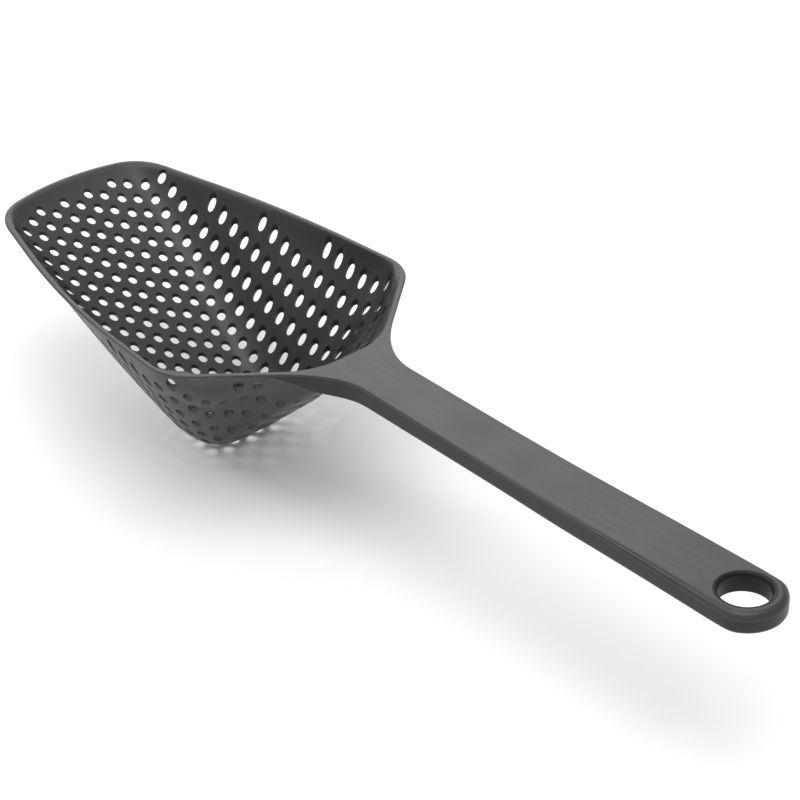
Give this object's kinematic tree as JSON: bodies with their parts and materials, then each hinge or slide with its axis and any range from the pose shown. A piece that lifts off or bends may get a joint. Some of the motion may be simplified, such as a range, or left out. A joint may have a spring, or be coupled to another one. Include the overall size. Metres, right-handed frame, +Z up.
{
  "type": "sieve scoop",
  "caption": "Long-handled sieve scoop: a wedge-shaped pierced bowl with a shield-shaped mouth, a flat handle and a hanging eye.",
  "frame": {"origin": "centre of the hanging eye, on its axis and half way through the handle", "axes": "+X along the handle away from the bowl, +Y to the left when looking towards +X from above the bowl, +Z up out of the bowl's mouth; the rim and the deck lie level"},
  "size_m": [0.3674, 0.113, 0.0645],
  "materials": {
    "basket": "charcoal moulded nylon with a fine satin grain",
    "handle": "charcoal moulded nylon, satin",
    "deck": "grey-black satin nylon, slightly smoother than the bowl",
    "eyelet": "charcoal nylon, satin"
  },
  "bodies": {
    "root": {"scoop_basket": "basket", "handle_channel": "handle", "deck_strip": "deck", "hang_eyelet": "eyelet"}
  },
  "joints": []
}
